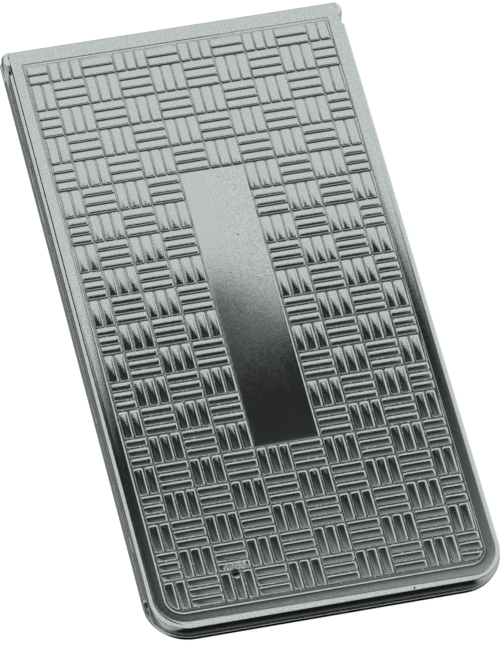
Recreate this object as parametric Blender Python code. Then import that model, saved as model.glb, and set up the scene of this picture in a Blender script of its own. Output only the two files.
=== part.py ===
"""Hinged money clip with an embossed basket-weave cover.

+X runs across the clip, +Y along it towards the hinge and +Z up. The clip lies closed on
the flat underside of its back plate, and the origin is under the middle of its box.
All sizes are in metres.
"""
import math

import bmesh
import bpy
from mathutils import Matrix, Vector
from mathutils.geometry import delaunay_2d_cdt

# Overall size of the closed clip
cover_width = 0.0252
clip_length = 0.0510

# Sheet metal, from the back plate up
back_sheet = 0.00041
spring_sheet = 0.00019
back_liner_sheet = 0.00024
cover_liner_sheet = 0.00026
cover_sheet = 0.00032

# Clearances between pieces
stack_gap = 0.00003
liner_gap = 0.00005
fit_gap = 0.00005
jaw_gap = 0.00006
liner_recess = 0.00002
liner_end_gap = 0.00010
cam_gap = 0.00003
pin_play = 0.00003

# Cover: a pressed shell with turned-down skirts and a rolled hinge end
bend_radius = 0.00036
cover_corner_radius = 0.00266
skirt_notch = 0.0016
heel_radius = 0.00025

# Embossed field and its frame
frame_side = 0.00114
frame_near = 0.00125
frame_far = 0.00156
field_corner_radius = 0.00130
emboss_depth = 0.00014
emboss_slope = 0.00013
rib_pitch = 0.000807
ribs_per_cell = 3
groove_width = 0.00007
edge_ribs = 2
far_margin = 0.00012
narrowest_rib_share = 0.6

# Plain engraving panel, counted in cells of the weave
panel_columns = 2
panel_rows = 10
panel_first_row = 4

# Back plate: a floor with turned-up side lips and two hinge ears
side_overhang = 0.00016
near_setback = 0.00015
back_corner_radius = 0.0031
floor_edge_radius = 0.00012
wall_root = 0.00010
lip_sheet = 0.00033
lip_inset = 0.00002
lip_notch = 0.0011
lip_end_radius = 0.00030
ear_sheet = 0.00028
ear_radius = 0.00062

# Hinge pin
pin_radius = 0.00031
pin_end_bevel = 0.00005

# Leaf spring and its rivets
spring_width = 0.0120
spring_base_length = 0.0060
spring_taper_length = 0.0050
tongue_width = 0.0040
tongue_length = 0.0130
tongue_reach = 0.00015
spring_slot_clearance = 0.0004
spring_slot_length = 0.0024
rivet_spacing = 0.0076
rivet_edge_distance = 0.0027
rivet_shank_radius = 0.0006
rivet_head_radius = 0.0011
rivet_head_height = 0.000045
rivet_head_bevel = 0.00028
rivet_rim_height = 0.000015
rivet_seat_gap = 0.000015

# Smoothness of the round shapes
corner_steps = 8
bend_steps = 4
inner_bend_steps = 2
floor_edge_steps = 2
roll_steps = 8
turned_steps = 24
sharp_angle = math.radians(35)

# Flat regions are filled at a larger scale, where the triangulation is exact enough
fill_scale = 1000
fill_tolerance = 1e-7

# Colours of the plated shells, the liners and the plain steel
cover_colour = (0.66, 0.68, 0.69)
plate_colour = (0.60, 0.62, 0.63)
liner_colour = (0.62, 0.64, 0.65)
spring_colour = (0.48, 0.49, 0.50)
pin_colour = (0.56, 0.57, 0.58)

# Levels of the stack and the hinge axis, from the sizes above
floor_top = back_sheet
spring_low = floor_top + stack_gap
spring_top = spring_low + spring_sheet
back_liner_low = spring_top + liner_gap
back_liner_top = back_liner_low + back_liner_sheet
skirt_low = back_liner_top + jaw_gap
cover_liner_low = skirt_low + liner_recess
cover_liner_top = cover_liner_low + cover_liner_sheet
roll_inner = pin_radius + pin_play
roll_outer = roll_inner + cover_sheet
axis_z = spring_top + cam_gap + roll_outer
cover_top = axis_z + roll_outer
cover_under = cover_top - cover_sheet
valley_z = cover_top - emboss_depth

# Plan positions
cover_half = cover_width / 2
face_half = cover_half - bend_radius
near_y = -clip_length / 2
axis_y = clip_length / 2 - roll_outer
skirt_end_y = axis_y - skirt_notch
lip_end_y = axis_y - lip_notch
back_half = cover_half + side_overhang
back_near_y = near_y + near_setback
back_far_y = axis_y + ear_radius
wall_outer = back_half - lip_inset
wall_inner = wall_outer - lip_sheet
ear_inner = face_half + fit_gap
ear_outer = ear_inner + ear_sheet
heel_reach = math.sqrt(2) * (roll_outer - heel_radius) + heel_radius
cell = rib_pitch * ribs_per_cell


def arc(centre, radius, start, end, steps):
    """Points on an arc about centre, from one angle to another in degrees."""
    points = []
    for step in range(steps + 1):
        angle = math.radians(start + (end - start) * step / steps)
        points.append((centre[0] + radius * math.cos(angle), centre[1] + radius * math.sin(angle)))
    return points


def offset_inward(points, distance):
    """Move each edge of an anticlockwise outline inward, keeping one point for each corner."""
    moved = []
    for index, point in enumerate(points):
        here = Vector(point)
        before = (here - Vector(points[index - 1])).normalized()
        after = (Vector(points[(index + 1) % len(points)]) - here).normalized()
        normal_before = Vector((-before.y, before.x))
        normal_after = Vector((-after.y, after.x))
        bisector = normal_before + normal_after
        moved.append(tuple(here + bisector * (2 * distance / bisector.length_squared)))
    return moved


def contains(points, spot):
    """Even-odd test of a spot against an outline."""
    found = False
    for (x0, y0), (x1, y1) in zip(points, points[1:] + points[:1]):
        if (y0 > spot[1]) != (y1 > spot[1]):
            if spot[0] < x0 + (spot[1] - y0) * (x1 - x0) / (y1 - y0):
                found = not found
    return found


def triangles_between(outer, holes):
    """Triangles, as indices into all the loops' points, of a flat region with holes."""
    loops = [outer] + holes
    points = []
    edges = []
    owner = []
    for number, loop in enumerate(loops):
        first = len(points)
        for index in range(len(loop)):
            points.append(Vector(loop[index]) * fill_scale)
            edges.append((first + index, first + (index + 1) % len(loop)))
            owner.append(number)
    found = delaunay_2d_cdt(points, edges, [], 0, fill_tolerance)
    original = [sources[0] for sources in found[3]]
    kept = []
    for face in found[2]:
        corners = [original[index] for index in face]
        owners = {owner[index] for index in corners}
        if len(owners) == 1:
            number = owners.pop()
            centre = sum((points[index] for index in corners), Vector((0, 0)))
            centre /= len(corners) * fill_scale
            if contains(loops[number], centre) != (number == 0):
                continue
        kept.append(corners)
    return kept


def add_loop(mesh, points, height):
    return [mesh.verts.new((x, y, height)) for x, y in points]


def join_loops(mesh, first, second, closed=True):
    """A band of quads between two loops with the same number of points."""
    count = len(first) if closed else len(first) - 1
    for index in range(count):
        following = (index + 1) % len(first)
        mesh.faces.new((first[index], first[following], second[following], second[index]))


def fill_between(mesh, outer, holes):
    """Fill the level region between a loop of vertices and the loops of its holes."""
    vertices = [vert for loop in [outer] + holes for vert in loop]
    outlines = [[(vert.co.x, vert.co.y) for vert in loop] for loop in [outer] + holes]
    for corners in triangles_between(outlines[0], outlines[1:]):
        mesh.faces.new([vertices[index] for index in corners])


def slab(outline, holes, low, high, edge_radius=0.0):
    """A level plate with holes, whose lower outer edge can be rounded."""
    mesh = bmesh.new()
    rings = []
    if edge_radius > 0:
        for step in range(floor_edge_steps):
            angle = math.pi / 2 * step / floor_edge_steps
            inset = edge_radius * (1 - math.sin(angle))
            height = low + edge_radius * (1 - math.cos(angle))
            rings.append(add_loop(mesh, offset_inward(outline, inset), height))
    rings.append(add_loop(mesh, outline, low + edge_radius))
    rings.append(add_loop(mesh, outline, high))
    for lower, upper in zip(rings, rings[1:]):
        join_loops(mesh, lower, upper)
    lower_holes = [add_loop(mesh, hole, low) for hole in holes]
    upper_holes = [add_loop(mesh, hole, high) for hole in holes]
    for lower, upper in zip(lower_holes, upper_holes):
        join_loops(mesh, lower, upper)
    fill_between(mesh, rings[0], lower_holes)
    fill_between(mesh, rings[-1], upper_holes)
    return mesh


def stand_across(mesh, spot=(0, 0, 0)):
    """Turn a body so that its X, Y and Z run along the clip's Y, Z and X, and move it to a spot."""
    turn = Matrix(((0, 0, 1, spot[0]), (1, 0, 0, spot[1]), (0, 1, 0, spot[2]), (0, 0, 0, 1)))
    bmesh.ops.transform(mesh, matrix=turn, verts=mesh.verts)
    return mesh


def turned(profile):
    """A closed body of revolution about Z from (radius, height) points, its end points on Z."""
    mesh = bmesh.new()
    start = mesh.verts.new((0, 0, profile[0][1]))
    end = mesh.verts.new((0, 0, profile[-1][1]))
    rings = []
    for radius, height in profile[1:-1]:
        rings.append(add_loop(mesh, arc((0, 0), radius, 0, 360, turned_steps)[:-1], height))
    for lower, upper in zip(rings, rings[1:]):
        join_loops(mesh, lower, upper)
    for index in range(turned_steps):
        following = (index + 1) % turned_steps
        mesh.faces.new((start, rings[0][following], rings[0][index]))
        mesh.faces.new((end, rings[-1][index], rings[-1][following]))
    return mesh


def make_material(name, colour, roughness, metallic=1.0):
    material = bpy.data.materials.new(name)
    material.use_nodes = True
    shader = material.node_tree.nodes["Principled BSDF"]
    shader.inputs["Base Color"].default_value = (*colour, 1.0)
    shader.inputs["Roughness"].default_value = roughness
    shader.inputs["Metallic"].default_value = metallic
    material.diffuse_color = (*colour, 1.0)
    return material


def make_object(name, mesh, colour, roughness, parent=None):
    """One named piece; a piece of the moving jaw hangs on the hinge's empty."""
    bmesh.ops.recalc_face_normals(mesh, faces=mesh.faces)
    data = bpy.data.meshes.new(name)
    mesh.to_mesh(data)
    mesh.free()
    data.shade_smooth()
    data.set_sharp_from_angle(angle=sharp_angle)
    piece = bpy.data.objects.new(name, data)
    piece.data.materials.append(make_material(name, colour, roughness))
    bpy.context.collection.objects.link(piece)
    if parent is not None:
        piece.parent = parent
        piece.location = -parent.location
    return piece


def near_rounded_outline(half, near, far, radius):
    """Anticlockwise plate outline with square far corners and round near ones."""
    outline = [(-half, far)]
    outline += arc((-half + radius, near + radius), radius, 180, 270, corner_steps)
    outline += arc((half - radius, near + radius), radius, 270, 360, corner_steps)
    outline.append((half, far))
    return outline


# Embossed weave

def clip_to(points, boundary):
    """The part of a convex outline that lies inside an anticlockwise convex boundary."""
    for start, end in zip(boundary, boundary[1:] + boundary[:1]):
        edge = Vector(end) - Vector(start)

        def side(point):
            return edge.x * (point[1] - start[1]) - edge.y * (point[0] - start[0])

        kept = []
        for point, following in zip(points, points[1:] + points[:1]):
            here = side(point)
            there = side(following)
            if here >= 0:
                kept.append(point)
            if (here > 0 > there) or (here < 0 < there):
                share = here / (here - there)
                kept.append(tuple(Vector(point).lerp(Vector(following), share)))
        points = kept
        if len(points) < 3:
            return []
    return points


def without_short_edges(points, shortest):
    kept = []
    for point in points:
        if not kept or (Vector(point) - Vector(kept[-1])).length > shortest:
            kept.append(point)
    if len(kept) > 1 and (Vector(kept[0]) - Vector(kept[-1])).length <= shortest:
        kept.pop()
    return kept


def in_panel(column, row):
    first_column = -(panel_columns // 2)
    in_columns = first_column <= column < first_column + panel_columns
    return in_columns and panel_first_row <= row < panel_first_row + panel_rows


def rib_rectangles(half, near, grid_far):
    """Low and high corners of each rib: three to a cell, turned in every other cell."""
    columns = math.ceil(half / cell)
    rows = math.ceil((grid_far - near) / cell)
    for column in range(-columns, columns):
        for row in range(-1, rows):
            if in_panel(column, row):
                continue
            left = column * cell
            low = grid_far - (row + 1) * cell
            for rib in range(ribs_per_cell):
                shift = rib * rib_pitch
                if (column + row) % 2:
                    yield left + shift, low, left + shift + rib_pitch, low + cell
                else:
                    yield left, low + shift, left + cell, low + shift + rib_pitch


def weave_ribs(valley_outline, half, near, grid_far):
    """Base outlines of the ribs that fit into the field, cut by its round corners."""
    inset = groove_width / 2
    boundary = offset_inward(valley_outline, inset)
    narrowest = narrowest_rib_share * (rib_pitch - groove_width)
    ribs = []
    for left, low, right, high in rib_rectangles(half, near, grid_far):
        box = [(left + inset, low + inset), (right - inset, low + inset),
               (right - inset, high - inset), (left + inset, high - inset)]
        rib = without_short_edges(clip_to(box, boundary), emboss_slope)
        if len(rib) < 3:
            continue
        across = max(x for x, _ in rib) - min(x for x, _ in rib)
        along = max(y for _, y in rib) - min(y for _, y in rib)
        if min(across, along) > narrowest and max(across, along) > rib_pitch:
            ribs.append(rib)
    return ribs


def emboss(mesh, face_ring):
    """Fill the cover's top face with its frame, the sunk field, the ribs and the panel."""
    half = cover_half - frame_side
    near = near_y + frame_near
    far = clip_length / 2 - frame_far
    field_outline = near_rounded_outline(half, near, far, field_corner_radius)
    valley_outline = offset_inward(field_outline, emboss_slope)
    field_ring = add_loop(mesh, field_outline, cover_top)
    valley_ring = add_loop(mesh, valley_outline, valley_z)
    fill_between(mesh, face_ring, [field_ring])
    join_loops(mesh, field_ring, valley_ring)
    grid_far = far - emboss_slope - far_margin - edge_ribs * rib_pitch
    raised = weave_ribs(valley_outline, half - emboss_slope, near + emboss_slope, grid_far)
    inset = groove_width / 2
    panel_half = panel_columns * cell / 2 - inset
    panel_far = grid_far - panel_first_row * cell - inset
    panel_near = grid_far - (panel_first_row + panel_rows) * cell + inset
    raised.append([(-panel_half, panel_near), (panel_half, panel_near),
                   (panel_half, panel_far), (-panel_half, panel_far)])
    base_rings = []
    for outline in raised:
        base = add_loop(mesh, outline, valley_z)
        top = add_loop(mesh, offset_inward(outline, emboss_slope), cover_top)
        join_loops(mesh, base, top)
        mesh.faces.new(top)
        base_rings.append(base)
    fill_between(mesh, valley_ring, base_rings)


# Upper jaw

def roll_section():
    """Outer and inner sides of the rolled hinge end, as (y, z), from its top round to its heel."""
    outer = arc((axis_y, axis_z), roll_outer, 90, -90, roll_steps)
    heel = (axis_y - roll_outer + heel_radius, axis_z - roll_outer + heel_radius)
    outer += arc(heel, heel_radius, 270, 180, bend_steps)
    outer.append((axis_y - roll_outer, axis_z))
    inner = arc((axis_y, axis_z), roll_inner, 90, -180, roll_steps + roll_steps // 2)
    return outer, inner


def cover_mesh():
    mesh = bmesh.new()
    inner_bend = bend_radius - cover_sheet
    section = arc((0, cover_top - bend_radius), bend_radius, 90, 0, bend_steps)
    section.append((bend_radius, skirt_low))
    section.append((inner_bend, skirt_low))
    section += arc((0, cover_under - inner_bend), inner_bend, 0, 90, inner_bend_steps)
    face_radius = cover_corner_radius - bend_radius
    near_centre = near_y + cover_corner_radius
    side_centre = cover_half - cover_corner_radius
    rail = [((-face_half, skirt_end_y), (-1, 0))]
    for sign, start in ((-1, 180), (1, 270)):
        centre = (sign * side_centre, near_centre)
        outward = arc((0, 0), 1, start, start + 90, corner_steps)
        for spot, normal in zip(arc(centre, face_radius, start, start + 90, corner_steps), outward):
            rail.append((spot, normal))
    rail.append(((face_half, skirt_end_y), (1, 0)))
    bands = []
    for offset, height in section:
        points = [(x + nx * offset, y + ny * offset) for (x, y), (nx, ny) in rail]
        bands.append(add_loop(mesh, points, height))
    for upper, lower in zip(bands, bands[1:]):
        join_loops(mesh, upper, lower, closed=False)
    for end in (0, -1):
        mesh.faces.new([band[end] for band in bands])
    outer, inner = roll_section()
    path = outer + inner[::-1]
    left = [mesh.verts.new((-face_half, y, z)) for y, z in path]
    right = [mesh.verts.new((face_half, y, z)) for y, z in path]
    join_loops(mesh, left, right, closed=False)
    mesh.faces.new([bands[0][0]] + left + [bands[-1][0]])
    mesh.faces.new([bands[0][-1]] + right + [bands[-1][-1]])
    mesh.faces.new(bands[-1] + [right[-1], left[-1]])
    emboss(mesh, bands[0] + [right[0], left[0]])
    return mesh


def cover_liner_mesh():
    half = cover_half - cover_sheet - fit_gap
    near = near_y + cover_sheet + fit_gap
    far = axis_y - roll_outer - liner_end_gap
    radius = cover_corner_radius - cover_sheet - fit_gap
    outline = near_rounded_outline(half, near, far, radius)
    return slab(outline, [], cover_liner_low, cover_liner_top)


# Lower jaw

def rivet_positions():
    spring_far = axis_y + tongue_reach
    spring_near = spring_far - tongue_length - spring_taper_length - spring_base_length
    rivet_y = spring_near + rivet_edge_distance
    return [(-rivet_spacing / 2, rivet_y), (rivet_spacing / 2, rivet_y)]


def rivet_holes():
    radius = rivet_shank_radius + pin_play
    return [arc(centre, radius, 0, 360, turned_steps)[:-1] for centre in rivet_positions()]


def floor_outline():
    """The near end is round; the far edge has a slot where the spring's tongue can give way."""
    slot_half = tongue_width / 2 + spring_slot_clearance
    slot_bottom = back_far_y - spring_slot_length
    outline = near_rounded_outline(back_half, back_near_y, back_far_y, back_corner_radius)
    outline += [(slot_half, back_far_y), (slot_half, slot_bottom)]
    outline += [(-slot_half, slot_bottom), (-slot_half, back_far_y)]
    return outline


def lip_mesh(low_x, high_x):
    """A side lip, drawn as (y, z), with round upper ends."""
    root = floor_top - wall_root
    near = back_near_y + back_corner_radius
    corner = lip_end_radius
    outline = [(near, root), (lip_end_y, root)]
    outline += arc((lip_end_y - corner, back_liner_top - corner), corner, 0, 90, bend_steps)
    outline += arc((near + corner, back_liner_top - corner), corner, 90, 180, bend_steps)
    return stand_across(slab(outline, [], low_x, high_x))


def ear_mesh(low_x, high_x):
    """A hinge ear, drawn as (y, z), with the hole for the pin."""
    root = floor_top - wall_root
    outline = [(axis_y - ear_radius, root), (axis_y + ear_radius, root)]
    outline += arc((axis_y, axis_z), ear_radius, 0, 180, roll_steps)
    hole = arc((axis_y, axis_z), pin_radius + pin_play, 0, 360, turned_steps)[:-1]
    return stand_across(slab(outline, [hole], low_x, high_x))


def make_back_plate():
    """The floor with a lip and an ear joined on each side."""
    floor = slab(floor_outline(), rivet_holes(), 0.0, floor_top, floor_edge_radius)
    plate = make_object("back_plate", floor, plate_colour, 0.22)
    walls = [lip_mesh(-wall_outer, -wall_inner), lip_mesh(wall_inner, wall_outer),
             ear_mesh(-ear_outer, -ear_inner), ear_mesh(ear_inner, ear_outer)]
    for mesh in walls:
        wall = make_object("wall_guide", mesh, plate_colour, 0.22)
        wall.hide_render = True
        wall.display_type = "WIRE"
        union = plate.modifiers.new("wall", "BOOLEAN")
        union.operation = "UNION"
        union.solver = "EXACT"
        union.object = wall
    return plate


def back_liner_mesh():
    half = wall_inner - fit_gap
    far = axis_y - heel_reach - liner_end_gap
    near = back_near_y + fit_gap
    outline = near_rounded_outline(half, near, far, back_corner_radius - (back_half - half))
    return slab(outline, rivet_holes(), back_liner_low, back_liner_top)


def spring_mesh():
    """A wide riveted base that tapers to a tongue under the hinge roll's heel."""
    tip = axis_y + tongue_reach
    tongue_near = tip - tongue_length
    base_far = tongue_near - spring_taper_length
    base_near = base_far - spring_base_length
    base = spring_width / 2
    tongue = tongue_width / 2
    outline = [(-base, base_near), (base, base_near), (base, base_far), (tongue, tongue_near)]
    outline += [(tongue, tip), (-tongue, tip), (-tongue, tongue_near), (-base, base_far)]
    return slab(outline, rivet_holes(), spring_low, spring_top)


def rivet_mesh(centre):
    """A flat-headed rivet whose shank stops just above the clip's underside."""
    low = stack_gap
    seat = back_liner_top + rivet_seat_gap
    top = seat + rivet_head_height
    rim = seat + rivet_rim_height
    profile = [(0, low), (rivet_shank_radius, low), (rivet_shank_radius, seat)]
    profile += [(rivet_head_radius, seat), (rivet_head_radius, rim)]
    profile += [(rivet_head_radius - rivet_head_bevel, top), (0, top)]
    mesh = turned(profile)
    bmesh.ops.translate(mesh, vec=(centre[0], centre[1], 0), verts=mesh.verts)
    return mesh


def pin_mesh():
    """A straight pin with bevelled ends, flush with the ears' outer faces."""
    shoulder = ear_outer - pin_end_bevel
    tip_radius = pin_radius - pin_end_bevel
    profile = [(0, -ear_outer), (tip_radius, -ear_outer), (pin_radius, -shoulder)]
    profile += [(pin_radius, shoulder), (tip_radius, ear_outer), (0, ear_outer)]
    return stand_across(turned(profile), (0, axis_y, axis_z))


def main():
    for old in list(bpy.data.objects):
        bpy.data.objects.remove(old)
    hinge = bpy.data.objects.new("jaw_hinge", None)
    hinge.location = (0, axis_y, axis_z)
    bpy.context.collection.objects.link(hinge)
    make_object("cover", cover_mesh(), cover_colour, 0.14, hinge)
    make_object("cover_liner", cover_liner_mesh(), liner_colour, 0.20, hinge)
    make_back_plate()
    make_object("back_liner", back_liner_mesh(), liner_colour, 0.20)
    make_object("leaf_spring", spring_mesh(), spring_colour, 0.30)
    for side, centre in zip(("left", "right"), rivet_positions()):
        make_object("spring_rivet_" + side, rivet_mesh(centre), pin_colour, 0.25)
    make_object("hinge_pin", pin_mesh(), pin_colour, 0.25)


main()
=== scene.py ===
"""The money clip as it lies in the studio: closed, on a pale floor, seen from its free end."""
import math
import random

import bmesh
import bpy
from mathutils import Matrix, Vector
from mathutils.geometry import delaunay_2d_cdt


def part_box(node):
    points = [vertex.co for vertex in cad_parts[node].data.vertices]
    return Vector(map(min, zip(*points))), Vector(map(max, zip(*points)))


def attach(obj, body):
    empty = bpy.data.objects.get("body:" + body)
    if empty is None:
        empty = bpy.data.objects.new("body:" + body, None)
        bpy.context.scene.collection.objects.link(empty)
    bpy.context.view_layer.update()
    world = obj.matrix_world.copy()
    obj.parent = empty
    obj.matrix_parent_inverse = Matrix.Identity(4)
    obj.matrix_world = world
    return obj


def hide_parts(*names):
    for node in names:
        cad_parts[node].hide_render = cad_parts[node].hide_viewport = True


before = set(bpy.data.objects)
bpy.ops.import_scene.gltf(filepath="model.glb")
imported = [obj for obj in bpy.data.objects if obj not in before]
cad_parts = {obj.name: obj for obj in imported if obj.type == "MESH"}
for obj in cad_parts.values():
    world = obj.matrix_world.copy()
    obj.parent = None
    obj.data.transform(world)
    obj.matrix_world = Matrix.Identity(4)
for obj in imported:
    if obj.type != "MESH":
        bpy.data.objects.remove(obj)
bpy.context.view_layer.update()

# The camera: a long lens held high in front of the free end, a little to the left.
# Its picture is taken as 500 by 646 points, with the middle of the picture on the lens axis.
lens_spot = Vector((-0.087708, -0.278432, 0.424127))
picture_right = Vector((0.97237778, -0.2275387, 0.05203453))
picture_up = Vector((0.15933597, 0.80998367, 0.56439215))
looking = Vector((0.17056818, 0.54051141, -0.82386522))
focal_points = 7200.0
picture_height = 646
half_point = 0.0000356
camera_data = bpy.data.cameras.new("studio_camera")
camera_data.sensor_width = 36.0
camera_data.lens = focal_points / picture_height * camera_data.sensor_width
camera_data.clip_start = 0.01
camera_data.clip_end = 20.0
camera = bpy.data.objects.new("studio_camera", camera_data)
lens_spot = lens_spot - half_point * (picture_right - picture_up)
camera.matrix_world = Matrix((
    (picture_right.x, picture_up.x, -looking.x, lens_spot.x),
    (picture_right.y, picture_up.y, -looking.y, lens_spot.y),
    (picture_right.z, picture_up.z, -looking.z, lens_spot.z),
    (0, 0, 0, 1)))
bpy.context.collection.objects.link(camera)
bpy.context.scene.camera = camera
bpy.context.scene.view_settings.view_transform = "Standard"


# The studio: a bright tent over a light table, open and dark only low on the camera's side. The
# flat metal mirrors the outer edge of a hung grey card, so the clip's far half is light and its
# near half dark. A black strip beside the card draws the dark line along the left bend.
class Shade:
    """One output in a material's nodes; sums written with it add Math nodes."""

    def __init__(self, tree, socket):
        self.tree = tree
        self.socket = socket

    def add(self, kind, settings=None, sockets=None, output=0):
        """Any node: its type, its settings, and the values or links of its sockets."""
        node = self.tree.nodes.new(kind)
        for name, value in (settings or {}).items():
            if name == "stops":
                ramp = node.color_ramp.elements
                while len(ramp) < len(value):
                    ramp.new(0.5)
                for stop, (place, grey) in zip(ramp, value):
                    stop.position = place
                    stop.color = (grey, grey, grey, 1)
            else:
                setattr(node, name, value)
        for key, value in (sockets or {}).items():
            if isinstance(value, Shade):
                self.tree.links.new(value.socket, node.inputs[key])
            else:
                node.inputs[key].default_value = value
        return Shade(self.tree, node.outputs[output])

    def math(self, operation, *others):
        """One Math node, with this output as its first value."""
        values = dict(enumerate((self,) + others))
        return self.add("ShaderNodeMath", {"operation": operation}, values)

    def __add__(self, other):
        return self.math("ADD", other)

    def __sub__(self, other):
        return self.math("SUBTRACT", other)

    def __rsub__(self, other):
        return self.add("ShaderNodeMath", {"operation": "SUBTRACT"}, {0: other, 1: self})

    def __mul__(self, other):
        return self.math("MULTIPLY", other)

    def __truediv__(self, other):
        return self.math("DIVIDE", other)

    __radd__ = __add__
    __rmul__ = __mul__

    def step(self, low, high):
        """0 at low and 1 at high, with a soft change between; low may be the larger."""
        return self.add("ShaderNodeMapRange", {"interpolation_type": "SMOOTHSTEP"},
                        {"Value": self, "From Min": low, "From Max": high})

    def part(self, name):
        """The X, Y or Z of a vector."""
        return self.add("ShaderNodeSeparateXYZ", None, {"Vector": self}, "XYZ".index(name))

    def between(self, first, second):
        """The colour that goes from first at 0 to second at 1."""
        return self.add("ShaderNodeMix", {"data_type": "RGBA"},
                        {"Factor": self, "A": (*first, 1), "B": (*second, 1)}, 2)


black = (0, 0, 0)
tent_white = (0.97, 1.0, 1.0)
tent_brightness = 0.80
opening_darkness = 0.785
tent = bpy.data.worlds.new("light_tent")
tent.use_nodes = True
tent_tree = tent.node_tree
towards = Shade(tent_tree, tent_tree.nodes.new("ShaderNodeTexCoord").outputs["Generated"])
sideways = towards.part("X")
ahead = towards.part("Y")
reach = (sideways * sideways + ahead * ahead).math("SQRT")
near_side = (ahead / (reach + 0.001)).step(-0.62, -0.84)
low_down = towards.part("Z").step(0.26, 0.08)
underneath = towards.part("Z").step(0.0, -0.08)
to_far_right = 0.43 * sideways + 0.90 * ahead
low_light = 0.012 + 0.16 * ahead.step(-0.45, 0.10) + 0.50 * to_far_right.step(0.50, 0.75)
low_corners = sideways.step(0.25, 0.50) + ahead.step(0.20, 0.0) * sideways.step(-0.22, -0.42)
low_light = low_light + 0.45 * low_corners
above = tent_brightness - opening_darkness * near_side * low_down
tent_light = above * (1 - underneath) + low_light * underneath
tent_tree.links.new(tent_light.between(black, tent_white).socket,
                    tent_tree.nodes["Background"].inputs["Color"])
bpy.context.scene.world = tent


def stage_paper(name, data, reflectance):
    """A matt paper for something on the stage, and its shader."""
    paper = bpy.data.materials.new(name)
    paper.use_nodes = True
    shader = paper.node_tree.nodes["Principled BSDF"]
    shader.inputs["Base Color"].default_value = (reflectance, reflectance, reflectance, 1)
    shader.inputs["Specular IOR Level"].default_value = 0.0
    data.materials.append(paper)
    return shader


def hung_card(name, paper_name, corners, height, reflectance):
    """A card over the clip that only its reflections show; gives its paper's shader."""
    mesh = bmesh.new()
    for x, y in corners:
        mesh.verts.new((x, y, height))
    mesh.faces.new(mesh.verts)
    data = bpy.data.meshes.new(name)
    mesh.to_mesh(data)
    mesh.free()
    shader = stage_paper(paper_name, data, reflectance)
    card = bpy.data.objects.new(name, data)
    card.visible_camera = False
    card.visible_diffuse = False
    card.visible_shadow = False
    bpy.context.collection.objects.link(card)
    return shader


# The grey card: outward points across its outer edge and sideward along it. Its print grows
# lighter from that edge inwards, and past its slanting inner edge it is as bright as the tent.
card_height = 0.203
card_edge = 0.1186
outward = Vector((-0.238, 0.971))
sideward = Vector((0.971, 0.238))
inner_edge = Vector((0.803, 0.595))
inner_reach = 0.063
print_width = 0.06
card_corners = [tuple(sideward * along + outward * across) for along, across in (
    (-0.45, card_edge), (0.30, card_edge), (0.30, -0.10), (-0.45, -0.10))]
card_shader = hung_card("grey_card", "printed_card", card_corners, card_height, 0)
card_shader.inputs["Emission Strength"].default_value = 1.0
card_tree = card_shader.id_data
spot = Shade(card_tree, card_tree.nodes.new("ShaderNodeTexCoord").outputs["Object"])
from_edge = card_edge - (spot.part("X") * outward.x + spot.part("Y") * outward.y)
beyond = inner_reach - (spot.part("X") * inner_edge.x + spot.part("Y") * inner_edge.y)
to_right = spot.part("X") * sideward.x + spot.part("Y") * sideward.y
print_tone = from_edge.add(
    "ShaderNodeValToRGB",
    {"stops": [(0.0, 0.006), (0.26, 0.020), (0.53, 0.12), (0.75, 0.32), (1.0, 0.42)]},
    {"Fac": from_edge / print_width})
dark_line = 1 - beyond.step(-0.013, -0.005) * 0.85
bright = beyond.step(0.0, 0.003).math("MAXIMUM", to_right.step(0.09, 0.13))
printed = print_tone * dark_line * (1 - bright) + tent_brightness * bright
card_tree.links.new(printed.between(black, tent_white).socket,
                    card_shader.inputs["Emission Color"])

strip_left = -0.031
strip_right = -0.001
strip_near = -0.02
strip_far = 0.32
strip_corners = [(strip_left, strip_near), (strip_right, strip_near),
                 (strip_right, strip_far), (strip_left, strip_far)]
hung_card("black_strip", "black_card", strip_corners, card_height - 0.0005, 0.01)

sun_data = bpy.data.lights.new("floor_sun", "SUN")
sun_data.energy = 0.3
sun_data.angle = math.radians(80)
sun = bpy.data.objects.new("floor_sun", sun_data)
sun.rotation_euler = (math.radians(-8), math.radians(5), 0)
sun.visible_glossy = False
bpy.context.collection.objects.link(sun)

floor_mesh = bmesh.new()
bmesh.ops.create_grid(floor_mesh, x_segments=2, y_segments=2, size=6.0)
floor_data = bpy.data.meshes.new("studio_floor")
floor_mesh.to_mesh(floor_data)
floor_mesh.free()
floor = bpy.data.objects.new("studio_floor", floor_data)
floor.location.z = -0.00002
floor.visible_glossy = False
paper = stage_paper("pale_paper", floor_data, 0.05)
paper.inputs["Roughness"].default_value = 0.9
paper.inputs["Emission Color"].default_value = (1.0, 1.0, 1.0, 1)
paper.inputs["Emission Strength"].default_value = 0.99
bpy.context.collection.objects.link(floor)

# The cover: one pressed sheet of plated brass, with turned-down skirts and its hinge end rolled
# into a tube with a squared heel. A die raised the ribs and the plain panel to the frame's level
# and left each rib steep towards the free end and the left, and soft on its other two sides.
cover_low, cover_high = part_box("cover")
cover_top = cover_high.z
cover_half = cover_high.x
cover_near = cover_low.y
sheet = 0.00032
bend_radius = 0.00036
corner_radius = 0.00266
skirt_low = 0.00098
face_half = cover_half - bend_radius
roll_outer = 0.00066
roll_inner = 0.00034
heel_radius = 0.00025
axis_y = cover_high.y - roll_outer
axis_z = cover_top - roll_outer
skirt_end = axis_y - 0.0016
emboss_microns = 140
rib_pitch = 0.000807
cell = 3 * rib_pitch
groove_half = 0.000018
field_half = cover_half - 0.00114
field_near = cover_near + 0.00125
field_far = cover_high.y - 0.00156
field_slope = 0.00013
field_radius = 0.00130
grid_far = field_far - field_slope - 0.00012 - 2 * rib_pitch
corner_steps = 14
micron = 0.000001


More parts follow.
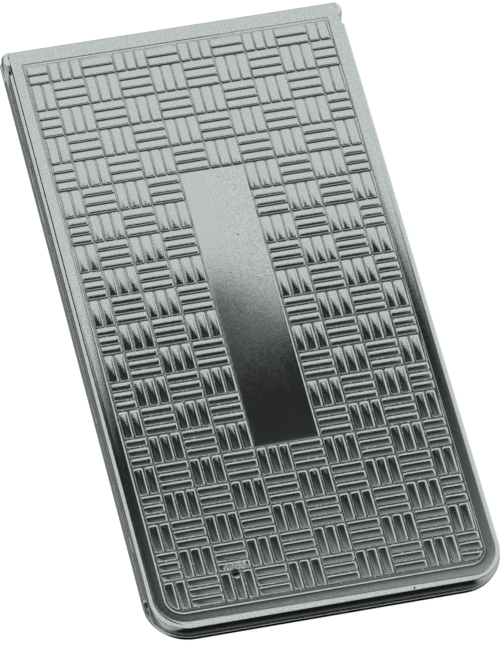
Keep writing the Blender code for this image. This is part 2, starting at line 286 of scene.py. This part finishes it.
def arc(centre, radius, start, end, steps):
    """Points on a circle, from start to end in degrees."""
    angles = [math.radians(start + (end - start) * step / steps) for step in range(steps + 1)]
    return [(centre[0] + radius * math.cos(a), centre[1] + radius * math.sin(a)) for a in angles]


def moved_in(points, distance):
    """An anticlockwise outline moved inward; distance gives each side's own, by its normal."""
    normals = []
    for index, point in enumerate(points):
        side = Vector(points[(index + 1) % len(points)]) - Vector(point)
        normals.append(Vector((side.y, -side.x)).normalized())
    moved = []
    for index, point in enumerate(points):
        before, after = normals[index - 1], normals[index]
        first, second = distance(before), distance(after)
        turn = before.dot(after)
        if turn > 0.9:
            shift = (before + after) * ((first + second) / (2 + 2 * turn))
        else:
            shift = before * (first - turn * second) + after * (second - turn * first)
            shift = shift / (1 - turn * turn)
        moved.append(tuple(Vector(point) - shift))
    return moved


def inward(points, distance):
    """An anticlockwise outline moved inward by one distance all round."""
    return moved_in(points, lambda normal: distance)


def rounded(points, radius, steps):
    """An outline with each corner replaced by a curve from side to side."""
    curve = []
    for index, point in enumerate(points):
        here = Vector(point)
        back = Vector(points[index - 1]) - here
        forth = Vector(points[(index + 1) % len(points)]) - here
        near_end = min(radius, 0.45 * back.length, 0.45 * forth.length)
        start = here + back.normalized() * near_end
        end = here + forth.normalized() * near_end
        for step in range(steps + 1):
            share = step / steps
            curve.append(tuple(start.lerp(here, share).lerp(here.lerp(end, share), share)))
    return curve


def inside(points, spot):
    """Whether a spot lies inside an outline."""
    found = False
    for (x0, y0), (x1, y1) in zip(points, points[1:] + points[:1]):
        if (y0 > spot[1]) != (y1 > spot[1]):
            if spot[0] < x0 + (spot[1] - y0) * (x1 - x0) / (y1 - y0):
                found = not found
    return found


def ring(mesh, points, height):
    """A loop of vertices; height is a number or gives the height at each point."""
    if callable(height):
        return [mesh.verts.new((x, y, height(x, y))) for x, y in points]
    return [mesh.verts.new((x, y, height)) for x, y in points]


def band(mesh, first, second, closed=True):
    """The faces between two loops with as many points."""
    count = len(first) if closed else len(first) - 1
    for index in range(count):
        after = (index + 1) % len(first)
        mesh.faces.new((first[index], first[after], second[after], second[index]))


def fill(mesh, outer, holes, spots=()):
    """The region between a loop and the loops of its holes, by way of the spots inside it."""
    loops = [outer] + holes
    points = []
    edges = []
    owner = []
    vertices = []
    for number, loop in enumerate(loops):
        first = len(points)
        for index, vertex in enumerate(loop):
            points.append(Vector(vertex.co.xy) * 1000)
            edges.append((first + index, first + (index + 1) % len(loop)))
            owner.append(number)
            vertices.append(vertex)
    for vertex in spots:
        points.append(Vector(vertex.co.xy) * 1000)
        owner.append(-1)
        vertices.append(vertex)
    outlines = [[tuple(vertex.co.xy * 1000) for vertex in loop] for loop in loops]
    result = delaunay_2d_cdt(points, edges, [], 0, 1e-7)
    original = [sources[0] for sources in result[3]]
    for face in result[2]:
        corners = [original[index] for index in face]
        owners = {owner[index] for index in corners}
        if len(owners) == 1 and -1 not in owners:
            number = owners.pop()
            middle = sum((points[index] for index in corners), Vector((0, 0))) / len(corners)
            if inside(outlines[number], middle) != (number == 0):
                continue
        mesh.faces.new([vertices[index] for index in corners])


def clipped(points, boundary):
    """The part of a convex outline inside a convex boundary."""
    for start, end in zip(boundary, boundary[1:] + boundary[:1]):
        side = Vector(end) - Vector(start)
        sides = [side.x * (y - start[1]) - side.y * (x - start[0]) for x, y in points]
        kept = []
        for index, point in enumerate(points):
            after = (index + 1) % len(points)
            here, there = sides[index], sides[after]
            if here >= 0:
                kept.append(point)
            if (here > 0 > there) or (here < 0 < there):
                share = here / (here - there)
                kept.append(tuple(Vector(point).lerp(Vector(points[after]), share)))
        points = kept
        if len(points) < 3:
            return []
    merged = []
    for point in points:
        if not merged or (Vector(point) - Vector(merged[-1])).length > field_slope:
            merged.append(point)
    if len(merged) > 1 and (Vector(merged[0]) - Vector(merged[-1])).length <= field_slope:
        merged.pop()
    return merged


def near_round(half, near, far, radius):
    """A plate's outline, anticlockwise, with square far corners and round near ones."""
    outline = [(-half, far)]
    outline += arc((-half + radius, near + radius), radius, 180, 270, corner_steps)
    outline += arc((half - radius, near + radius), radius, 270, 360, corner_steps)
    return outline + [(half, far)]


# How far in from a rib's foot each ring of its side lies, on the steep sides and on the soft ones,
# and how far below the top, all in microns.
rib_side = [(0, 0, emboss_microns), (5, 26, 95), (9, 53, 55), (13, 77, 32), (18, 100, 19),
            (24, 120, 11), (34, 140, 6.0), (60, 168, 2.8), (110, 218, 0)]


def cushion(mesh, outline, corner, spread, fall):
    """The sides of a raised rib or panel; fall gives its top's depth at each point."""
    rings = []
    for steep, soft, below in rib_side:
        steep *= spread * micron
        soft *= spread * micron
        raised = 1 - below / emboss_microns

        def distance(normal):
            share = min(1.0, max(0.0, 0.5 + 0.5 * (normal.x + normal.y)))
            return steep + (soft - steep) * share

        def height(x, y):
            return cover_top - below * micron - fall(x, y) * raised

        points = rounded(moved_in(outline, distance), corner * (0.4 + 0.6 * raised), 3)
        rings.append(ring(mesh, points, height))
    for lower, upper in zip(rings, rings[1:]):
        band(mesh, lower, upper)
    return rings


def rib_fall(outline, crown, lean):
    """A rib's top: slightly crowned and, like all die work, not quite level."""
    left = min(x for x, _ in outline)
    right = max(x for x, _ in outline)
    low = min(y for _, y in outline)
    high = max(y for _, y in outline)
    middle = Vector(((left + right) / 2, (low + high) / 2))
    half = Vector(((right - left) / 2, (high - low) / 2))
    drop = abs(lean[0]) * half.x + abs(lean[1]) * half.y

    def fall(x, y):
        across = (x - middle.x) / half.x
        along = (y - middle.y) / half.y
        tilt = lean[0] * (x - middle.x) + lean[1] * (y - middle.y)
        return crown[0] * across * across + crown[1] * along * along + drop - tilt

    return fall


panel_middle = 0.0010
panel_sink = 0.000042


def panel_fall(x, y):
    """The panel's top: a shallow wave, higher on its left, and a slight crown on its middle."""
    along = y - panel_middle
    wave = (0.0035 - 3.2 * x) * 0.0035 * math.erf(along / 0.004)
    crown = 0.0014 * 0.003 * math.log(math.cosh(along / 0.003))
    return panel_sink - wave + crown


def weave(mesh, face_ring):
    """The top face: its frame, the sunk field, the ribs in threes and the plain panel."""
    jitter = random.Random(11)
    rib_width = rib_pitch - 2 * groove_half
    rib_corner = 0.00018
    width_crown = 0.0000055
    length_crown = 0.000012
    uneven = 0.006
    lean_across = 0.64
    outline = near_round(field_half, field_near, field_far, field_radius)
    # How far in from the field's edge each ring lies, on the soft sides and on the steep one, and
    # how far below the top, all in microns. Only the right side is steep.
    rim = [(-700, -700, 6.4), (-580, -580, 3.4), (-450, -450, 1.2), (-300, -300, 0),
           (-200, -200, 0.8), (-100, -30, 2.6), (-60, -15, 4.5), (-15, 0, 11), (25, 8, 24),
           (60, 14, 44), (95, 20, 80), (130, 26, emboss_microns)]

    def moved_rim(soft, steep, beyond=0.0):
        """The field's edge moved in by its sides' own distances, and by what is beyond them."""
        return moved_in(outline, lambda normal: (
            soft + (steep - soft) * max(0.0, normal.x) ** 3) * micron + beyond)

    loops = [ring(mesh, moved_rim(soft, steep), cover_top - below * micron)
             for soft, steep, below in rim]
    fill(mesh, face_ring, [loops[0]])
    for upper, lower in zip(loops, loops[1:]):
        band(mesh, upper, lower)
    boundary = moved_rim(*rim[-1][:2], 2 * groove_half)
    panel_first_row = 4
    panel_end_row = 14
    bases = []
    for column in range(-5, 5):
        for row in range(-1, 20):
            if -1 <= column < 1 and panel_first_row <= row < panel_end_row:
                continue
            upright = (column + row) % 2
            for rib in range(3):
                left, low = column * cell, grid_far - (row + 1) * cell
                right, high = left + cell, low + cell
                if upright:
                    left += rib * rib_pitch
                    right = left + rib_pitch
                else:
                    low += rib * rib_pitch
                    high = low + rib_pitch
                box = [(left, low), (right, low), (right, high), (left, high)]
                piece = clipped(inward(box, groove_half), boundary)
                if len(piece) < 3:
                    continue
                width = max(x for x, _ in piece) - min(x for x, _ in piece)
                length = max(y for _, y in piece) - min(y for _, y in piece)
                if min(width, length) <= 0.6 * rib_width or max(width, length) <= rib_pitch:
                    continue
                spread = min(1.0, min(width, length) / rib_width)
                lean = (jitter.uniform(-uneven, uneven),
                        jitter.uniform(-uneven, uneven) - lean_across * (left + right) / 2)
                crown = (width_crown, length_crown) if upright else (length_crown, width_crown)
                rings = cushion(mesh, piece, rib_corner, spread, rib_fall(piece, crown, lean))
                mesh.faces.new(rings[-1])
                bases.append(rings[0])
    panel_half = cell - groove_half
    panel_far = grid_far - panel_first_row * cell - groove_half
    panel_near = grid_far - panel_end_row * cell + groove_half
    side_steps = 24
    levels = [panel_near + (panel_far - panel_near) * step / side_steps
              for step in range(side_steps + 1)]
    panel = [(-panel_half, y) for y in levels[::-1]] + [(panel_half, y) for y in levels]
    panel_corner = 0.00014
    panel_spread = 1.1
    rings = cushion(mesh, panel, panel_corner, panel_spread, panel_fall)
    bases.append(rings[0])
    margin = 0.00040
    inner_half = panel_half - margin
    inner_far = panel_far - margin
    inner_near = panel_near + margin
    rows = 59
    columns = 12
    spots = []
    for row in range(rows):
        for column in range(columns):
            x = -inner_half + 2 * inner_half * column / (columns - 1)
            y = inner_near + (inner_far - inner_near) * row / (rows - 1)
            spots.append(mesh.verts.new((x, y, cover_top - panel_fall(x, y))))
    fill(mesh, rings[-1], [], spots)
    fill(mesh, loops[-1], bases)


def cover_shell():
    """The whole shell: its bend and skirt along three sides, its rolled end and its face."""
    mesh = bmesh.new()
    inner_bend = bend_radius - sheet
    section = arc((0, cover_top - bend_radius), bend_radius, 76, 0, 10)
    section += [(bend_radius, skirt_low + 0.00005), (bend_radius - 0.00002, skirt_low + 0.00001)]
    section += [(bend_radius - 0.00006, skirt_low), (inner_bend, skirt_low)]
    section += arc((0, cover_top - sheet - inner_bend), inner_bend, 0, 90, 2)
    face_radius = corner_radius - bend_radius
    rail = [((-face_half, skirt_end), (-1, 0))]
    for sign, start in ((-1, 180), (1, 270)):
        centre = (sign * (cover_half - corner_radius), cover_near + corner_radius)
        normals = arc((0, 0), 1, start, start + 90, corner_steps)
        spots = arc(centre, face_radius, start, start + 90, corner_steps)
        rail += list(zip(spots, normals))
    rail.append(((face_half, skirt_end), (1, 0)))
    loops = []
    for out, height in section:
        points = [(x + nx * out, y + ny * out) for (x, y), (nx, ny) in rail]
        loops.append(ring(mesh, points, height))
    for upper, lower in zip(loops, loops[1:]):
        band(mesh, upper, lower, closed=False)
    for end in (0, -1):
        mesh.faces.new([loop[end] for loop in loops])
    outer = arc((axis_y, axis_z), roll_outer, 90, -90, 24)
    heel = (axis_y - roll_outer + heel_radius, axis_z - roll_outer + heel_radius)
    outer += arc(heel, heel_radius, 270, 180, 8)
    outer.append((axis_y - roll_outer, axis_z))
    inner = arc((axis_y, axis_z), roll_inner, 90, -180, 32)
    path = outer + inner[::-1]
    left = [mesh.verts.new((-face_half, y, z)) for y, z in path]
    right = [mesh.verts.new((face_half, y, z)) for y, z in path]
    band(mesh, left, right, closed=False)
    mesh.faces.new([loops[0][0]] + left + [loops[-1][0]])
    mesh.faces.new([loops[0][-1]] + right + [loops[-1][-1]])
    mesh.faces.new(loops[-1] + [right[-1], left[-1]])
    weave(mesh, loops[0] + [right[0], left[0]])
    return mesh


def finished_piece(name, mesh, sharp_degrees):
    """A mesh made into an object, smooth but for the edges that turn more than the angle."""
    bmesh.ops.recalc_face_normals(mesh, faces=mesh.faces)
    data = bpy.data.meshes.new(name)
    mesh.to_mesh(data)
    mesh.free()
    data.shade_smooth()
    data.set_sharp_from_angle(angle=math.radians(sharp_degrees))
    piece = bpy.data.objects.new(name, data)
    bpy.context.collection.objects.link(piece)
    return piece


def start_metal(name):
    """A new metal, its shader, the place on the piece in metres, and where its surface faces."""
    metal = bpy.data.materials.new(name)
    metal.use_nodes = True
    tree = metal.node_tree
    shader = tree.nodes["Principled BSDF"]
    shader.inputs["Metallic"].default_value = 1.0
    surface = tree.nodes.new("ShaderNodeTexCoord").outputs
    return metal, shader, Shade(tree, surface["Object"]), Shade(tree, surface["Normal"])


def cloud(place, grain, detail=2.0):
    """Soft noise whose spots are about grain metres across."""
    return place.add("ShaderNodeTexNoise", None,
                     {"Vector": place, "Scale": 1.0 / grain, "Detail": detail})


def hairlines(place, angle, spacing, stretch, rarity):
    """Thin scratches in one direction, as a mask."""
    turned = place.add("ShaderNodeMapping", None,
                       {"Vector": place, "Rotation": (0, 0, angle), "Scale": (1, stretch, 1)})
    return cloud(turned, spacing, 3.0).step(rarity, rarity + 0.05)


def finish_metal(shader, tone, roughness, relief, relief_height):
    """Join a metal's colour, its roughness and its relief to the shader."""
    bumps = relief.add("ShaderNodeBump", None,
                       {"Height": relief, "Distance": relief_height, "Strength": 1.0})
    relief.tree.links.new(tone.socket, shader.inputs["Base Color"])
    relief.tree.links.new(roughness.socket, shader.inputs["Roughness"])
    relief.tree.links.new(bumps.socket, shader.inputs["Normal"])


def distance_from(place, x, y, stretch=1.0):
    """How far a place is from a spot, in metres; stretch counts the way along the clip more."""
    across = place.part("X") - x
    along = stretch * (place.part("Y") - y)
    return (across * across + along * along).math("SQRT")


# The plating is bright nickel-coloured metal with fine pores and short scratches. Painted shade
# darkens the ribs' steep near and left sides, wider in the far half, and low on the left skirt;
# painted glints break it in the near half. In the far half a rib's left side is dark towards its
# near end only.
plating_colour = (0.74, 0.775, 0.775)
wear_and_painted_shade_colour = (0.07, 0.074, 0.077)
metal, shader, place, facing = start_metal("bright_plating")
along_clip = place.part("Y")
from_middle = place.part("X").math("ABSOLUTE")
depth = cover_top - place.part("Z")
far_half = along_clip.step(-0.004, 0.008)
on_field = from_middle.step(field_half, field_half - 0.0002)
on_field = on_field * along_clip.step(field_far - 0.0002, field_far - 0.0005)
on_field = on_field * along_clip.step(field_near, field_near + 0.0002)
down_cell = ((grid_far - along_clip) / cell).math("FRACT")
# Painted glints: small random spots in the near half that the painted shade leaves bright.
painted_glints = cloud(place, 0.00016, 1.0).step(0.60, 0.66) * (1 - far_half)

# Painted shade on rib sides facing the free end and the left; far-half left sides only towards the
# cell's near end.
left_share = 1 - far_half * on_field * (1 - down_cell.step(0.40, 0.90))
shaded = facing.part("Y").step(-0.25, -0.60) + facing.part("X").step(-0.25, -0.60) * left_share
steep = facing.part("Z").step(0.50, 0.25)
shoulder = facing.part("Z").step(0.95, 0.72) * on_field * (0.62 + 0.38 * far_half)
rib_painted_shade = shaded.math("MINIMUM", 1.0) * steep.math("MAXIMUM", shoulder) * (1 - 0.9 * painted_glints)
# More painted shade on the gentle near and left slopes in the near half.
gentle = facing.part("Y").step(-0.05, -0.16) + facing.part("X").step(-0.05, -0.16)
gentle = 0.52 * gentle.math("MINIMUM", 1.0) * on_field * (1 - far_half) * (1 - painted_glints)
rib_painted_shade = rib_painted_shade.math("MAXIMUM", gentle) * depth.step(0.00022, 0.00018)
# Painted shade low on the cover's left skirt.
skirt_painted_shade = facing.part("X").step(-0.90, -0.985) * depth.step(0.00030, 0.00040)
painted_shade = rib_painted_shade + 0.9 * skirt_painted_shade

groove = depth.step(0.00008, 0.00013) * (1 - depth.step(0.00016, 0.00022))
speckle = cloud(place, 0.00007, 2.0).step(0.38, 0.66)
scratches = hairlines(place, 0.5, 0.00016, 0.02, 0.68)
# The darker colour comes in with grooves, scratches, pores and the painted shade.
darkening = 0.06 * groove + 0.10 * scratches + 0.33 * speckle * (1 - painted_shade) + 0.95 * painted_shade
roughness = 0.050 + 0.04 * groove + 0.03 * speckle + 0.05 * scratches
relief = cloud(place, 0.00006, 1.0)

# A few years in a pocket have left a deep pit, small dents and nicks, and a scarred patch by the
# pit. Each mark: its place across and along and its radius, in millimetres, and its darkness.
marks = [(-6.11, -21.70, 0.46, 1.0), (-5.25, -14.60, 0.09, 0.7), (-11.41, -7.73, 0.14, 0.6),
         (5.83, -25.34, 0.10, 0.9), (-2.94, -24.93, 0.14, 0.3), (0.60, 6.20, 0.08, 0.4),
         (-0.70, 3.10, 0.07, 0.4), (8.99, -13.48, 0.10, 0.6)]
ragged = 0.00012 * (cloud(place, 0.00020, 2.0) - 0.5)
for x, y, radius, darkness in marks:
    away = distance_from(place, 0.001 * x, 0.001 * y) + ragged
    darkening = darkening.math("MAXIMUM", darkness * away.step(0.001 * radius, 0.0005 * radius))
    relief = relief - 25 * radius * away.step(0.0012 * radius, 0.0004 * radius)
scar = (distance_from(place, -0.0060, -0.0211, 1.5) + 2 * ragged).step(0.0009, 0.0005)
relief = relief + 40 * scar * cloud(place, 0.00030, 2.0)
finish_metal(shader, darkening.between(plating_colour, wear_and_painted_shade_colour), roughness, relief,
             1.3 * micron)
cover_piece = finished_piece("embossed_cover", cover_shell(), 40)
cover_piece.data.materials.append(metal)
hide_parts("cover")
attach(cover_piece, "upper_jaw")


# The cover liner: a flat plated sheet that closes the hollow back of the cover, held in the skirts
# by solder. Folded notes slide along it, so its face carries fine rubbing marks along the clip.
def sheet_metal(mesh, outline, holes, low, high, low_edge, high_edge):
    """A plate with holes, whose lower and upper edges are rounded to their own radii."""
    steps = 4
    turns = [math.radians(90 * step / steps) for step in range(steps + 1)]
    levels = [(low_edge * (1 - math.sin(turn)), low + low_edge * (1 - math.cos(turn)))
              for turn in turns]
    levels += [(high_edge * (1 - math.cos(turn)), high - high_edge * (1 - math.sin(turn)))
               for turn in turns]
    ends = []
    for loop, sign in [(outline, 1)] + [(hole, -1) for hole in holes]:
        rings = [ring(mesh, inward(loop, sign * inset), height) for inset, height in levels]
        for lower, upper in zip(rings, rings[1:]):
            band(mesh, lower, upper)
        ends.append((rings[0], rings[-1]))
    fill(mesh, ends[0][0], [end[0] for end in ends[1:]])
    fill(mesh, ends[0][1], [end[1] for end in ends[1:]])


def rubbed_plating(name, spacing, colour, darker_colour):
    """Plating with rubbing marks along the clip; its near and left walls are darkened with painted
    shade.
    """
    metal, shader, place, facing = start_metal(name)
    rubs = hairlines(place, 0.0, spacing, 0.03, 0.55)
    pores = cloud(place, 0.00009, 2.0)
    beside_hinge = place.part("Y").step(0.0236, 0.0238)
    # Painted shade: walls facing the free end, and less so the left, are darkened, except beside
    # the hinge.
    painted_wall_shade = facing.part("Y").step(-0.70, -0.92) + 0.5 * facing.part("X").step(-0.90, -0.99)
    painted_wall_shade = painted_wall_shade * (1 - beside_hinge)
    rubbed = (0.16 * rubs + 0.24 * pores.step(0.35, 0.65)) * (1 - 0.8 * beside_hinge)
    darkening = rubbed * (1 - painted_wall_shade) + 0.95 * painted_wall_shade
    roughness = 0.08 + 0.06 * rubs + 0.06 * pores
    finish_metal(shader, darkening.between(colour, darker_colour), roughness, rubs + pores, 1.2 * micron)
    return metal


def add_sheet(name, node, body, outline, holes, edge, metal):
    """A flat sheet in the place of a CAD node, as thick as that node is."""
    low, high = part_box(node)
    mesh = bmesh.new()
    sheet_metal(mesh, outline, holes, low.z, high.z, edge, edge)
    piece = finished_piece(name, mesh, 50)
    piece.data.materials.append(metal)
    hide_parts(node)
    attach(piece, body)


# Its darker colour serves both the rubbing marks and the painted shade on the near and left walls.
liner_metal = rubbed_plating("rubbed_plating", 0.00014, (0.68, 0.71, 0.72), (0.16, 0.165, 0.17))
liner_low, liner_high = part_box("cover_liner")
liner_radius = corner_radius - (cover_half - liner_high.x)
liner_outline = near_round(liner_high.x, liner_low.y, liner_high.y, liner_radius)
add_sheet("cover_lining_sheet", "cover_liner", "upper_jaw", liner_outline, [],
          0.00005, liner_metal)

# The back plate: the lower jaw, one stamping of plated sheet with a low lip along each side and a
# domed ear at each side of the hinge, which holds the pin. It has a slot under the spring's tongue
# and two holes for the rivets, and it is duller than the cover, because it rubs in the pocket.
plate_low, plate_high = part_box("back_plate")
plate_top = 0.00041
plate_half = plate_high.x
plate_near = plate_low.y
plate_far = plate_high.y
plate_radius = 0.0031
slot_half = 0.0024
slot_bottom = plate_far - 0.0024
rivet_spots = [((low.x + high.x) / 2, (low.y + high.y) / 2)
               for low, high in (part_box("spring_rivet_left"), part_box("spring_rivet_right"))]
rivet_hole_radius = 0.00063
rivet_holes = [arc(spot, rivet_hole_radius, 0, 360, 32)[:-1] for spot in rivet_spots]
lip_top = 0.00092
lip_out = plate_half - 0.00002
lip_in = lip_out - 0.00033
lip_far = axis_y - 0.0011
lip_round = 0.0003
ear_in = face_half + 0.00002
ear_out = 0.01271
ear_radius = 0.000655
pin_hole = 0.00034
root = plate_top - 0.0001


def standing(mesh):
    """Turn a piece drawn as (y, z, x) to stand across the clip."""
    for vertex in mesh.verts:
        vertex.co = (vertex.co.z, vertex.co.x, vertex.co.y)


def mirrored(mesh):
    """A copy for the other side of the clip."""
    other = mesh.copy()
    for vertex in other.verts:
        vertex.co.x = -vertex.co.x
    bmesh.ops.reverse_faces(other, faces=other.faces)
    return other


def side_lip():
    """A lip drawn as (y, z), with rounded upper corners."""
    mesh = bmesh.new()
    near = plate_near + plate_radius
    outline = [(near, root), (lip_far, root)]
    outline += arc((lip_far - lip_round, lip_top - lip_round), lip_round, 0, 90, 8)
    outline += arc((near + lip_round, lip_top - lip_round), lip_round, 90, 180, 8)
    sheet_metal(mesh, outline, [], lip_in, lip_out, 0.00006, 0.00003)
    standing(mesh)
    return mesh


def hinge_ear():
    """An ear drawn as (y, z): a round-topped tab with a domed face and a hole for the pin."""
    mesh = bmesh.new()
    outline = [(axis_y - ear_radius, root), (axis_y + ear_radius, root)]
    outline += arc((axis_y, axis_z), ear_radius, 0, 180, 28)
    hole = arc((axis_y, axis_z), pin_hole, 0, 360, 32)[:-1]
    dome = [(0, ear_in), (0, 0.01236), (0.00003, 0.01244), (0.00008, 0.01252),
            (0.00014, 0.012595), (0.00020, 0.012655), (0.00025, 0.012695), (0.00028, ear_out)]
    rings = [ring(mesh, inward(outline, inset), height) for inset, height in dome]
    for lower, upper in zip(rings, rings[1:]):
        band(mesh, lower, upper)
    bore = [ring(mesh, hole, height) for height in (ear_in, ear_out - 0.00001)]
    lead = ring(mesh, inward(hole, -0.000012), ear_out)
    band(mesh, bore[1], bore[0])
    band(mesh, lead, bore[1])
    fill(mesh, rings[0], [bore[0]])
    fill(mesh, rings[-1], [lead])
    standing(mesh)
    return mesh


def joined(name, base, additions):
    """One closed piece made of a base and what is brazed or folded onto it."""
    body = finished_piece(name, base, 40)
    guides = []
    for mesh in additions:
        guide = finished_piece("joint_guide", mesh, 40)
        union = body.modifiers.new("joint", "BOOLEAN")
        union.operation = "UNION"
        union.solver = "EXACT"
        union.object = guide
        guides.append(guide)
    bpy.context.view_layer.update()
    whole = bpy.data.meshes.new_from_object(body.evaluated_get(
        bpy.context.evaluated_depsgraph_get()))
    body.modifiers.clear()
    body.data = whole
    whole.shade_smooth()
    whole.set_sharp_from_angle(angle=math.radians(40))
    for guide in guides:
        bpy.data.objects.remove(guide)
    return body


plate_mesh = bmesh.new()
plate_outline = near_round(plate_half, plate_near, plate_far, plate_radius)
plate_outline += [(slot_half, plate_far), (slot_half, slot_bottom)]
plate_outline += [(-slot_half, slot_bottom), (-slot_half, plate_far)]
sheet_metal(plate_mesh, plate_outline, rivet_holes, 0.0, plate_top, 0.00012, 0.00004)
lip, ear = side_lip(), hinge_ear()
plate_piece = joined("back_stamping", plate_mesh, [mirrored(lip), mirrored(ear), lip, ear])
plate_piece.data.materials.clear()
# Its darker colour serves both the rubbing marks and the painted shade on the near and left walls.
plate_piece.data.materials.append(rubbed_plating(
    "pocket_rubbed_plating", 0.00022, (0.74, 0.77, 0.78), (0.09, 0.094, 0.098)))
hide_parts("back_plate")
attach(plate_piece, "lower_jaw")

# The back liner: a second flat plated sheet, riveted over the leaf spring. The notes lie on it, so
# it has the cover liner's metal and rubbing marks.
back_low, back_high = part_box("back_liner")
back_radius = plate_radius - (plate_half - back_high.x)
back_outline = near_round(back_high.x, back_low.y, back_high.y, back_radius)
add_sheet("back_lining_sheet", "back_liner", "lower_jaw", back_outline,
          rivet_holes, 0.00006, liner_metal)


# The leaf spring: tempered strip steel with the grain of the rolling, riveted between the back
# plate and its liner. Its tongue pushes on the heel of the cover's roll.
def rolled_steel(name, colour, darker_colour):
    """Bare steel with a fine grain along the clip and faint stains."""
    metal, shader, place, _ = start_metal(name)
    grain = hairlines(place, 0.0, 0.00010, 0.02, 0.5)
    stain = cloud(place, 0.0012, 3.0)
    darkening = 0.5 * grain + 0.3 * stain
    roughness = 0.26 + 0.14 * grain + 0.06 * stain
    finish_metal(shader, darkening.between(colour, darker_colour), roughness, grain, 1.8 * micron)
    return metal


def give_finish(node_name, metal):
    """A CAD node keeps its shape and gets a better metal."""
    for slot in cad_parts[node_name].material_slots:
        slot.material = metal


give_finish("leaf_spring", rolled_steel("tempered_strip", (0.50, 0.50, 0.51),
                                        (0.28, 0.27, 0.28)))

# The two rivets through the spring's base and the straight pin of the hinge: cut from plain drawn
# steel wire. The rivets are closed over the sheets, and the pin is pressed into the ears.
wire_steel = rolled_steel("drawn_wire", (0.58, 0.59, 0.60), (0.36, 0.36, 0.37))
for node_name in ("spring_rivet_left", "spring_rivet_right", "hinge_pin"):
    give_finish(node_name, wire_steel)
